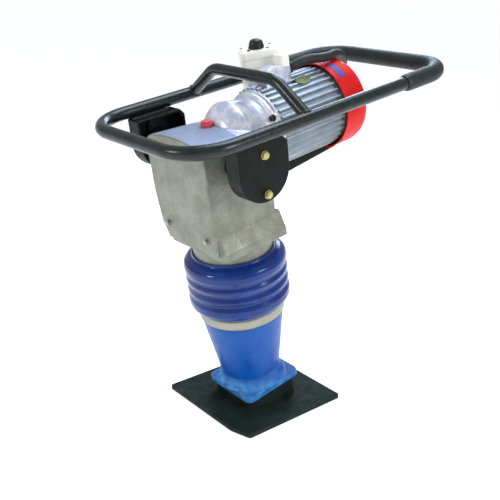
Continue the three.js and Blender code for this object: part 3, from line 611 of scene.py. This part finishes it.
def build_bellows():
    outer = [(97, 270.3, 1), (104, 275, 5), (111.5, 281.5, 7), (115, 290, 9), (115, 303, 8),
             (109.5, 314.5, 6), (115.4, 325, 8), (109.5, 338, 6), (115.4, 351, 8), (110, 362, 6),
             (115.2, 373, 9), (115.2, 383, 9), (112.5, 391, 9), (104, 398.5, 9), (94.5, 403, 4), (93, 408, 1)]
    inner = [(89.5, 408, 0.8), (89.5, 399, 4), (101, 392, 6), (105.5, 385, 6), (105.5, 292, 6),
             (98, 281, 6), (91, 275, 4), (91, 270.3, 0.8)]
    boot = lathe("bellows_fine", eased(outer + inner, 1, 7), LEG, closed=True)
    shade(boot)
    dress(boot, "bellows_blue")
    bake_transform(boot)
    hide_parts("bellows")


# ---- gear case ----
# above the shoulder the case's top slopes down towards the rear, and is level with the outline at one y
SHOULDER_Z, TOP_SLOPE, TOP_LEVEL_Y = 640, 0.08, -30
# the case ends in a flat face here, and its cover starts a hair in front of it
FACE_Y = -104


def case_outline(inset):
    """The case in x and z; with an inset, as for the room inside, it runs on through the floor."""
    i = inset
    low = 455 - (60 if i else 0)
    points = [Vector((-72 + i, low)), Vector((98 - i, low)), Vector((97 - i, 655))]
    points += pulled((97 - i, 655), (96 - i, 676 - i), (74 - i, 682 - i), 10)
    points += pulled((74 - i, 682 - i), (0, 696 - i), (-74 + i, 682 - i), 24)
    points += pulled((-74 + i, 682 - i), (-96 + i, 676 - i), (-97 + i, 655), 10)
    return points + [Vector((-98 + i, 560)), Vector((-89 + i, 489)), Vector((-77 + i, 466))]


def case_block(name, inset, front, rear, bevel=0, segments=2):
    """The case's outline from front to rear, with its top sloping down towards the rear."""
    body = prism(name, case_outline(inset), front, rear, LEG, "y", bevel, segments)
    to_leg = LEG.inverted() @ TO_MM
    for v in body.data.vertices:
        spot = to_leg @ v.co
        if spot.z > SHOULDER_Z:
            spot.z -= TOP_SLOPE * (spot.y - TOP_LEVEL_Y)
            v.co = to_leg.inverted() @ spot
    return body


def block(name, x0, x1, y0, y1, z0, z1, place=LEG):
    return prism(name, [(x0, y0), (x1, y0), (x1, y1), (x0, y1)], z0, z1, place)


def rod(name, radius, low, high, place, axis):
    return lathe(name, [(0, low), (radius, low), (radius, high), (0, high)], place, axis, segments=64)


# the motor's nose and its flange: radius, y and corner radius
NOSE = [(0, -6), (50, -6, 4), (60, 0, 6), (67, 8, 12), (76, 20, 12), (82, 32, 12), (80, 48, 14), (76, 64, 14),
        (73, 80, 8), (75, 91, 4), (82, 96, 1), (82, 104.7, 0.6), (0, 104.7)]
LUG_ANGLES = (60, 180, 300)


def build_case():
    shell = case_block("gear_case_fine", 0, -116, 52)
    floor = block("floor", -72, 98, -116, 63, 444.3, 456)
    foot = [(90, 500), (97, 498), (114.5, 460), (114.5, 444.3), (60, 444.3)]
    flare = prism("flare", foot, -102, 63, LEG, "y")
    nose = lathe("nose", eased(NOSE, 0, 6, False), MOTOR, "y")
    lugs = [rod("lug", 9, 96, 104.7, at_lug(angle), "y") for angle in LUG_ANGLES]
    combine(shell, [floor, flare, nose] + lugs, "UNION")
    room = case_block("room", 8, -130, 44)
    combine(room, [block("sill", -120, 120, -200, 100, 380, 456)], "DIFFERENCE")
    pit = [(0, -8), (34, -2), (50, 18), (58, 36), (58, 110), (0, 110)]
    hollow = lathe("hollow", pit, MOTOR, "y", segments=64)
    passage = rod("passage", 56, 400, 457, LEG, "z")
    combine(shell, [room, hollow, passage], "DIFFERENCE")
    cast(shell, 6)
    combine(shell, [block("face", -200, 200, FACE_Y - 56, FACE_Y, 380, 800)], "DIFFERENCE")
    stands_for(shell, "gear_case", angle=45)
    brighten_nose(shell)
    build_cover()
    build_plug()
    neck = [(56, 262, 0.5), (62, 262, 0.5), (62, 428, 1), (81.5, 428, 2), (81.5, 392, 0.8), (88.5, 392, 1.6),
            (88.5, 444, 1), (56, 444, 1)]
    guide = lathe("guide_cylinder_fine", eased(neck, 1, 5), LEG, closed=True)
    stands_for(guide, "guide_cylinder", "cast_grey")


def at_lug(angle):
    """Place of a lug of the nose's flange, turned about the motor's axis."""
    return MOTOR @ Matrix.Rotation(math.radians(angle), 4, "Y") @ Matrix.Translation((0, 0, 82))


def build_cover():
    cover = case_block("front_cover_fine", 0, FACE_Y - 8, FACE_Y + 6, 3.2, 6)
    combine(cover, [block("back", -200, 200, FACE_Y - 0.15, 0, 380, 800)], "DIFFERENCE")
    stands_for(cover, "front_cover")
    for i, (x, z) in enumerate([(-65, 491), (67, 485), (72, 670), (-72, 670)]):
        place = LEG @ Matrix.Translation((x, 0, z))
        bolt = hex_bolt(f"cover_bolt_{i + 1}_fine", 12, FACE_Y - 8.2, FACE_Y - 14, place, "y", (8, 1.2))
        stands_for(bolt, f"cover_bolt_{i + 1}", "zinc")


def brighten_nose(shell):
    """The nose is bare metal: the shell's faces behind the case or above it take the second finish."""
    shell.data.materials.append(LOOKS["bright_cast"])
    crown, fall, half_width, rear = 46, 12, 74, 53
    to_motor = MOTOR.inverted() @ TO_MM
    for face in shell.data.polygons:
        spot = to_motor @ face.center
        top = crown - fall * (spot.x / half_width) ** 2 - TOP_SLOPE * (spot.y - TOP_LEVEL_Y)
        off_case = spot.y > rear or spot.z > top + 0.6
        if off_case and spot.y > -6.6 and math.hypot(spot.x, spot.z) < 95:
            face.material_index = 1


def build_plug():
    place = LEG @ Matrix.Translation((-6, -19, 0))
    profile = [(0, 688.5), (11.4, 688.5), (11.4, 693, 0.6), (13.5, 693, 0.5), (13.5, 694.6, 0.5),
               (9, 694.6, 0.3), (9, 701.4, 2), (0, 702.4)]
    plug = lathe("filler_plug_fine", eased(profile, 0.3, 4, False), place, segments=64)
    grip = prism("grip", hexagon(19), 694, 701, place, "z", 1.0, 3)
    combine(plug, [grip], "UNION")
    stands_for(plug, "filler_plug", "plug_red")


# ---- motor ----
FINS, FIN_ROOT, FIN_TIP = 36, 82.5, 90
FAN_SLOTS = 16


def fin_outline(count, root, tip):
    # one fin: radius, and distance from its middle as a share of the pitch
    half = [(tip, 0.06), (tip - 0.4, 0.12), (tip - 1.4, 0.15), (root + 2.2, 0.205), (root + 0.6, 0.25),
            (root, 0.34)]
    shape = [(root, -0.5)] + [(r, -share) for r, share in reversed(half)] + half
    step = 360 / count
    points = []
    for i in range(count):
        for r, share in shape:
            angle = math.radians((i + 0.5 + share) * step)
            points.append((r * math.cos(angle), r * math.sin(angle)))
    return points


def motor_round():
    """The round motor and its clearance, to cut from what sits on it."""
    return rod("under", FIN_TIP + 0.3, 90, 300, MOTOR, "y")


def build_motor():
    shell = prism("motor_shell_fine", fin_outline(FINS, FIN_ROOT, FIN_TIP), 112, 285, MOTOR, "y", 0.5, 2)
    combine(shell, [rod("bore", 78.3, 100, 300, MOTOR, "y")], "DIFFERENCE")
    stands_for(shell, "motor_shell", angle=30)
    disc = [(12, 105, 0.4), (85, 105, 1.2), (85, 111.7, 1.2), (28, 111.7, 0.5), (28, 131, 0.8),
            (19.3, 131, 0.5), (19.3, 110, 0.3), (12, 110, 0.3)]
    shield = face_outwards(lathe("front_shield_fine", eased(disc, 1, 4), MOTOR, "y", True))
    stands_for(shield, "front_shield", "bright_cast")
    for k, angle in enumerate(LUG_ANGLES):
        bolt = hex_bolt(f"flange_bolt_{k + 1}", 11, 95.8, 88, at_lug(angle), "y", (7.4, 1.2))
        extra(bolt, "machine", "black_oxide")
    build_fan_cover()
    gusset = [(52.5, 496), (66, 502), (168, 529), (322, 541), (322, 545.7), (283, 545.7), (283, 550),
              (52.5, 550)]
    cradle = prism("motor_cradle_fine", eased(gusset, 1.5, 3), -17, 17, LEG, "x", 1.2, 3)
    stands_for(cradle, "motor_cradle", "hanger_black")


def build_fan_cover():
    outer = [(94.8, 285.3, 0.3), (98, 285.3, 0.8), (98, 336, 8), (95.5, 347, 8), (88, 354.5, 8), (77, 357, 8)]
    inner = [(75, 353.5, 6), (85, 352, 6), (92, 345, 6), (94.8, 336, 6)]
    cover = lathe("fan_cover_fine", eased(outer + [(0, 357), (0, 353.5)] + inner, 0, 5), MOTOR, "y", True)
    slots = []
    for k in range(FAN_SLOTS):
        turn = Matrix.Rotation(math.radians(360 / FAN_SLOTS * k), 4, "Y")
        slots.append(prism("slot", rounded_rect(-3.2, 26, 3.2, 64, 3, 4), 340, 370, MOTOR @ turn, "y"))
    combine(cover, slots, "DIFFERENCE")
    stands_for(cover, "fan_cover", angle=40)
    dome = [(0, 97.8), (4, 97.8, 0.2), (4, 99.2, 1.2), (0, 99.8)]
    for k in range(4):
        turn = Matrix.Rotation(math.radians(45 + 90 * k), 4, "Y")
        place = MOTOR @ turn @ Matrix.Translation((0, 291, 0))
        head = lathe(f"cover_screw_{k + 1}", eased(dome, 0.2, 4, False), place, "x", segments=32)
        extra(head, "machine", "fan_red")


def patch(name, radius, y0, y1, angle0, angle1, thick, oval):
    """A thin sheet that hugs the round motor between two angles and two y, square or oval in outline."""
    steps = 24
    verts, faces = [], []
    for layer in (0, thick):
        for i in range(steps + 1):
            v = -1 + 2 * i / steps
            for k in range(steps + 1):
                u = -1 + 2 * k / steps
                du, dv = u, v
                if oval:
                    du, dv = u * math.sqrt(1 - v * v / 2), v * math.sqrt(1 - u * u / 2)
                angle = math.radians((angle0 + angle1) / 2 + du * (angle1 - angle0) / 2)
                y = (y0 + y1) / 2 + dv * (y1 - y0) / 2
                verts.append(((radius + layer) * math.cos(angle), y, (radius + layer) * math.sin(angle)))
    row = steps + 1
    half = row * row
    for i in range(steps):
        for k in range(steps):
            a = i * row + k
            under = (a, a + 1, a + row + 1, a + row)
            faces += [under, tuple(half + n for n in under)]
    rim = [k for k in range(row)] + [i * row + steps for i in range(1, row)]
    rim += [steps * row + k for k in range(steps - 1, -1, -1)] + [i * row for i in range(steps - 1, 0, -1)]
    faces += [(a, b, half + b, half + a) for a, b in zip(rim, rim[1:] + rim[:1])]
    return from_rings(name, verts, faces, MOTOR)


# ---- terminal box, switch box and leads ----
# the terminal box seen from its side, as (y, z, corner radius)
TERMINAL_SIDE = [(128, 725), (128, 752, 3), (134, 765, 6), (148, 771, 6), (200, 763, 3), (200, 725)]
SEAM, LID_TOP = 778.7, 799
BOX = LEG @ Matrix.Translation((-48, 173, 0)) @ Matrix.Rotation(math.radians(-26), 4, "Z")


def box_plan(grow, corner_radius):
    return rounded_rect(-20 - grow, -38.5 - grow, 20 + grow, 38.5 + grow, corner_radius)


def build_terminal():
    body = prism("terminal_box_fine", eased(TERMINAL_SIDE, 0, 4), -8, 22, LEG, "x", 2.4, 4)
    tower = prism("tower", rounded_rect(-6, 176, 22, 200, 5), 728, 788, LEG, "z", 2.4, 4)
    combine(body, [tower], "UNION")
    combine(body, [motor_round()], "DIFFERENCE")
    stands_for(body, "terminal_box", "bright_cast")
    body.data.materials.append(LOOKS["box_cream"])
    to_leg = LEG.inverted() @ TO_MM
    for face in body.data.polygons:
        spot = to_leg @ face.center
        on_tower = spot.y > 175 and spot.z > 764
        if on_tower:
            face.material_index = 1


def build_box():
    body = prism("switch_box_fine", box_plan(0, 7), 711, SEAM, BOX, "z", 0.8, 2)
    grown = [(127.7, 725), (127.7, 752), (133.7, 765.3), (147.7, 771.3), (200.3, 763.3), (200.3, 725)]
    terminal = prism("grown", grown, -8.3, 22.3, LEG, "x")
    room = prism("room", box_plan(-4, 3), 752, 796, BOX)
    combine(body, [motor_round(), terminal, room], "DIFFERENCE")
    stands_for(body, "switch_box")
    lid = prism("switch_lid_fine", box_plan(1.5, 8), SEAM + 0.3, LID_TOP - 3, BOX, "z", 1.4, 4)
    crown = prism("crown", box_plan(-2, 8), LID_TOP - 4, LID_TOP, BOX, "z", 1.6, 4)
    combine(lid, [crown], "UNION")
    stands_for(lid, "switch_lid")
    for i, (x, y) in enumerate([(15, -24), (15, 18), (-14, -32), (-14, 32)]):
        lid_screw(i + 1, x, y, "black_oxide" if x > 0 else "zinc")
    build_knob()


def lid_screw(number, x, y, look):
    place = BOX @ Matrix.Translation((x, y, 0))
    pan = [(0, LID_TOP - 0.2), (3.8, LID_TOP - 0.2, 0.2), (3.8, LID_TOP + 1, 0.7), (0, LID_TOP + 2.2)]
    head = lathe(f"lid_screw_{number}", eased(pan, 0.2, 4, False), place, segments=32)
    cross = [block("cross", -half_x, half_x, -half_y, half_y, LID_TOP + 1.3, LID_TOP + 5, place)
             for half_x, half_y in ((2.4, 0.5), (0.5, 2.4))]
    combine(head, cross, "DIFFERENCE")
    extra(head, "machine", look)


def build_knob():
    place = BOX @ Matrix.Translation((3, -3, LID_TOP + 0.3))
    profile = [(0, 0), (17, 0, 0.5), (17.5, 3.5, 1.5), (15.8, 6, 1.5), (15.2, 11, 4), (12.5, 16.5, 5),
               (7, 19.4, 5), (0, 20)]
    knob = lathe("switch_knob_fine", eased(profile, 0, 5, False), place)
    notches = [prism("notch", rounded_rect(14.6, -1, 20, 1, 0.8, 3), 6.5, 24,
                     place @ Matrix.Rotation(math.radians(30 * k), 4, "Z")) for k in range(12)]
    combine(knob, notches, "DIFFERENCE")
    stands_for(knob, "switch_knob")


LEAD_RADIUS = 10
LEAD_ROUTE = [(12, 210, 755), (15, 222, 758.5), (20, 240, 761.5), (23.5, 262, 760.5), (24, 291, 755.5),
              (20, 320, 752.5), (13, 346, 750.5), (5, 368, 742), (-8, 388, 724.5), (-26, 403, 701),
              (-52, 410, 674), (-80, 402, 650), (-102, 380, 636.5), (-115, 345, 631.5), (-116, 310, 632),
              (-113.5, 280, 633.5), (-112, 262, 633.5)]


def centripetal(points, steps):
    """Centripetal Catmull-Rom curve through the points."""
    def between(a, b, start, end, t):
        return a * ((end - t) / (end - start)) + b * ((t - start) / (end - start))

    ends = [points[0] * 2 - points[1]] + points + [points[-1] * 2 - points[-2]]
    out = []
    for i in range(1, len(ends) - 2):
        near = ends[i - 1:i + 3]
        knots = [0.0]
        for a, b in zip(near, near[1:]):
            knots.append(knots[-1] + math.sqrt((b - a).length))
        for k in range(steps):
            t = knots[1] + (knots[2] - knots[1]) * k / steps
            first = [between(near[j], near[j + 1], knots[j], knots[j + 1], t) for j in range(3)]
            second = [between(first[j], first[j + 1], knots[j], knots[j + 2], t) for j in range(2)]
            out.append(between(second[0], second[1], knots[1], knots[2], t))
    return out + [points[-1].copy()]


def build_lead():
    path = centripetal([Vector(p) for p in LEAD_ROUTE], 6)
    count, sides = len(path), 24
    verts = []
    side = Vector((1, 0, 0))
    for i, here in enumerate(path):
        ahead = (path[min(i + 1, count - 1)] - path[max(i - 1, 0)]).normalized()
        side = (side - ahead * side.dot(ahead)).normalized()
        verts += ring(here, side, ahead.cross(side), LEAD_RADIUS, sides)
    lead = from_rings("motor_lead_fine", verts, skin(count, sides) + caps(count, sides), LEG)
    stands_for(lead, "motor_lead", angle=60)


def build_glands():
    sleeve = [(10.6, 200.3, 0.3), (14, 200.3, 0.5), (14, 203.5, 0.4), (13, 204.2, 0.3), (13, 206, 1),
              (12, 208, 0.8), (10.6, 208, 0.3)]
    place = LEG @ Matrix.Translation((12, 0, 755))
    gland = face_outwards(lathe("lead_gland_fine", eased(sleeve, 0.3, 4), place, "y", True))
    stands_for(gland, "lead_gland")
    plug = [(0, 0), (7.2, 0.2, 1), (9, 3, 1), (10.4, 5, 0.5), (10.4, 13, 0.5), (9.4, 14, 0.4),
            (9.4, 18.7, 0.4), (0, 18.7)]
    entry = BOX @ Matrix.Translation((-39.3, 0, 764))
    stands_for(lathe("supply_gland_fine", eased(plug, 0.3, 4, False), entry, "x"), "supply_gland")
    inlet = prism("motor_inlet_fine", rounded_rect(-125, 236, -80, 261, 5), 620, 647, LEG, "z", 2.5, 4)
    combine(inlet, [motor_round()], "DIFFERENCE")
    stands_for(inlet, "motor_inlet")


# ---- handle ----
# the loop lies in its own plane, z = 0: half its width, its two ends in y, its bends and its tube's radius
HALF, FRONT, REAR, BEND, TUBE = 187, -193.5, 524.9, 92, 14
HOOP_Y, HOOP_RISE, HOOP_HALF, HOOP_RADIUS = 86, 64, 99, 12.5
GRIP_START = 367
# the grip's lips: distance from its end, and share of its full radius
GRIP_LIP = [(0, 0.83), (3, 0.9), (7, 0.965), (12, 1.0)]


def u_path(start, closed):
    """The loop from its near side, round the rear, to its far side."""
    corners = [Vector(p) for p in ((HALF, start, 0), (HALF, REAR, 0), (-HALF, REAR, 0), (-HALF, start, 0))]
    return bent(corners, BEND, 24, closed)


def build_handle():
    tube = sweep("handle_tube_fine", u_path(FRONT, True), TUBE, HANDLE, (0, 0, 1), True, 40)
    stands_for(tube, "handle_tube", angle=60)
    build_grip()
    build_hoop()
    for side, sign in (("near", 1), ("far", -1)):
        hoop_weld(side, sign)
        build_hanger(side, sign)


def build_grip():
    near = [Vector((HALF, GRIP_START + along, 0)) for along, _ in GRIP_LIP]
    far = [Vector((-HALF, GRIP_START + along, 0)) for along, _ in reversed(GRIP_LIP)]
    path = near + u_path(GRIP_START, False)[1:-1] + far
    lip = [share for _, share in GRIP_LIP]
    shares = lip + [1.0] * (len(path) - 2 * len(lip)) + lip[::-1]
    grip = sweep("grip_sleeve_fine", path, 18.5, HANDLE, (0, 0, 1), False, 40, TUBE + 0.3, shares)
    stands_for(grip, "grip_sleeve", angle=60)


def build_hoop():
    corners = [Vector(p) for p in ((-HALF, HOOP_Y, 0), (-HOOP_HALF, HOOP_Y, HOOP_RISE),
                                   (HOOP_HALF, HOOP_Y, HOOP_RISE), (HALF, HOOP_Y, 0))]
    hoop = sweep("carry_hoop_fine", bent(corners, 58, 18), HOOP_RADIUS, HANDLE, (0, 1, 0), False, 36)
    cutter = sweep("cutter", u_path(FRONT, True), TUBE + 0.3, HANDLE, (0, 0, 1), True, 40)
    combine(hoop, [cutter], "DIFFERENCE")
    keep_largest(hoop)
    stands_for(hoop, "carry_hoop", angle=40)


def keep_largest(obj):
    """Drops the offcuts that a cut has left."""
    whole = bmesh.new()
    whole.from_mesh(obj.data)
    whole.verts.ensure_lookup_table()
    left, parts = set(whole.verts), []
    while left:
        stack, part = [left.pop()], set()
        while stack:
            v = stack.pop()
            part.add(v)
            for e in v.link_edges:
                w = e.other_vert(v)
                if w in left:
                    left.discard(w)
                    stack.append(w)
        parts.append(part)
    largest = max(parts, key=len)
    bmesh.ops.delete(whole, geom=[v for v in whole.verts if v not in largest], context="VERTS")
    whole.to_mesh(obj.data)
    whole.free()


def hoop_weld(side, sign):
    """Bead round the hoop's foot, where its surface meets the tube."""
    steps, sides = 48, 10
    down = Vector((HALF - HOOP_HALF, 0, -HOOP_RISE)).normalized()
    across = Vector((0, 1, 0))
    path = []
    for offset in ring(Vector((0, 0, 0)), across, down.cross(across), HOOP_RADIUS, steps):
        # along the hoop's leg, until the distance from the tube's axis, in x and z, is the tube's radius
        b = offset.x * down.x + offset.z * down.z
        c = offset.x ** 2 + offset.z ** 2 - (TUBE + 0.6) ** 2
        reach = -b - math.sqrt(b * b - c * (down.x ** 2 + down.z ** 2)) if b * b > c else -TUBE
        point = offset + down * reach
        path.append(Vector((sign * (HALF + point.x), HOOP_Y + point.y, point.z)))
    centre = sum(path, Vector((0, 0, 0))) / steps
    verts = []
    for k, here in enumerate(path):
        ahead = (path[(k + 1) % steps] - path[k - 1]).normalized()
        out = here - centre
        out = (out - ahead * out.dot(ahead)).normalized()
        size = 2.6 + 0.45 * math.sin(k * 2.1) + random.uniform(-0.15, 0.15)
        verts += ring(here, out, ahead.cross(out), size, sides)
    bead = from_rings(f"hoop_weld_{side}", verts, skin(steps, sides, True), HANDLE)
    extra(bead, "handle", "weld", 80)


# ---- hangers ----
MOUNT_Y = -33


def hanger_outline(inset):
    y, z, radius, top = MOUNT_Y, -71.8, 61 - inset, -14.3 - inset
    points = [Vector((y + radius, top - 13)), Vector((y + radius - 11, top)), Vector((y - radius, top))]
    return points + arc(y, z, radius, 180, 360, 48)


def build_hanger(side, sign):
    def span(a, b):
        return (a, b) if sign > 0 else (-b, -a)

    plate = prism(f"{side}_hanger_fine", hanger_outline(0), *span(146, HALF), HANDLE, "x")
    room = prism("room", hanger_outline(6), *span(141, 178.7), HANDLE, "x")
    combine(plate, [room], "DIFFERENCE")
    stands_for(cast(plate, 5, VOXEL * 0.8), f"{side}_hanger", "hanger_black", angle=60)
    for level, z in (("upper", -38.2), ("lower", -117.2)):
        spot = HANDLE @ Matrix.Translation((0, MOUNT_Y, z))
        low, high = sign * (HALF + 0.3), sign * (HALF + 7)
        bolt = hex_bolt(f"{side}_{level}_mount_bolt_fine", 14, low, high, spot, "x", (8.8, 1.6))
        stands_for(bolt, f"{side}_{level}_mount_bolt")
    outline = rounded_rect(-55, -124, -11, -24, 20)
    backing = prism(f"{side}_buffer_plate_fine", outline, *span(172, 178.4), HANDLE, "x", 0.8, 2)
    stands_for(backing, f"{side}_buffer_plate", "hanger_black")
    build_buffer(side, sign)
    for edge in (-1, 1):
        hanger_weld(side, sign, edge)


def build_buffer(side, sign):
    near, far = 98.3, 171.7
    waisted = [(0, near), (29, near, 1), (29, near + 8, 4), (25, near + 20, 12), (25, far - 20, 12),
               (29, far - 8, 4), (29, far, 1), (0, far)]
    profile = [(radius, sign * along) for radius, along in eased(waisted, 0, 5, False)]
    place = HANDLE @ Matrix.Translation((0, MOUNT_Y, -75))
    stands_for(lathe(f"{side}_buffer_fine", profile, place, "x"), f"{side}_buffer")


def hanger_weld(side, sign, edge):
    """Bead along the tube where the hanger's top meets it."""
    x, start, length = sign * 178 + edge * 6.5, -91, 96
    steps, sides = 60, 10
    verts = []
    for i in range(steps + 1):
        size = (2.3 + 0.5 * math.sin(i * 1.9)) * (0.4 if i in (0, steps) else 1)
        here = Vector((x, start + length * i / steps, -14.2))
        verts += ring(here, Vector((1, 0, 0)), Vector((0, 0, 1)), size, sides)
    name = f"hanger_weld_{side}_{'out' if edge == sign else 'in'}"
    bead = from_rings(name, verts, skin(steps + 1, sides) + caps(steps + 1, sides), HANDLE)
    extra(bead, "handle", "weld", 80)


def dress_frame():
    """The frame's nodes take their slot's finish; the ones that a piece replaces drop out later."""
    for name, obj in frame["nodes"].items():
        dress(obj, SLOT[name])
        shade(obj, 32)


make_camera()
make_world()
make_floor()
make_lights()
LOOKS = make_materials()
dress_frame()
build_foot()
build_case()
build_motor()
build_terminal()
build_box()
build_lead()
build_glands()
build_handle()
extra(patch("rating_plate", 90.6, 200, 240, 59, 77, 1.0, True), "machine", "plate_olive")
extra(patch("cover_label", 98.1, 299, 315, 46, 73, 0.5, False), "machine", "label_blue")
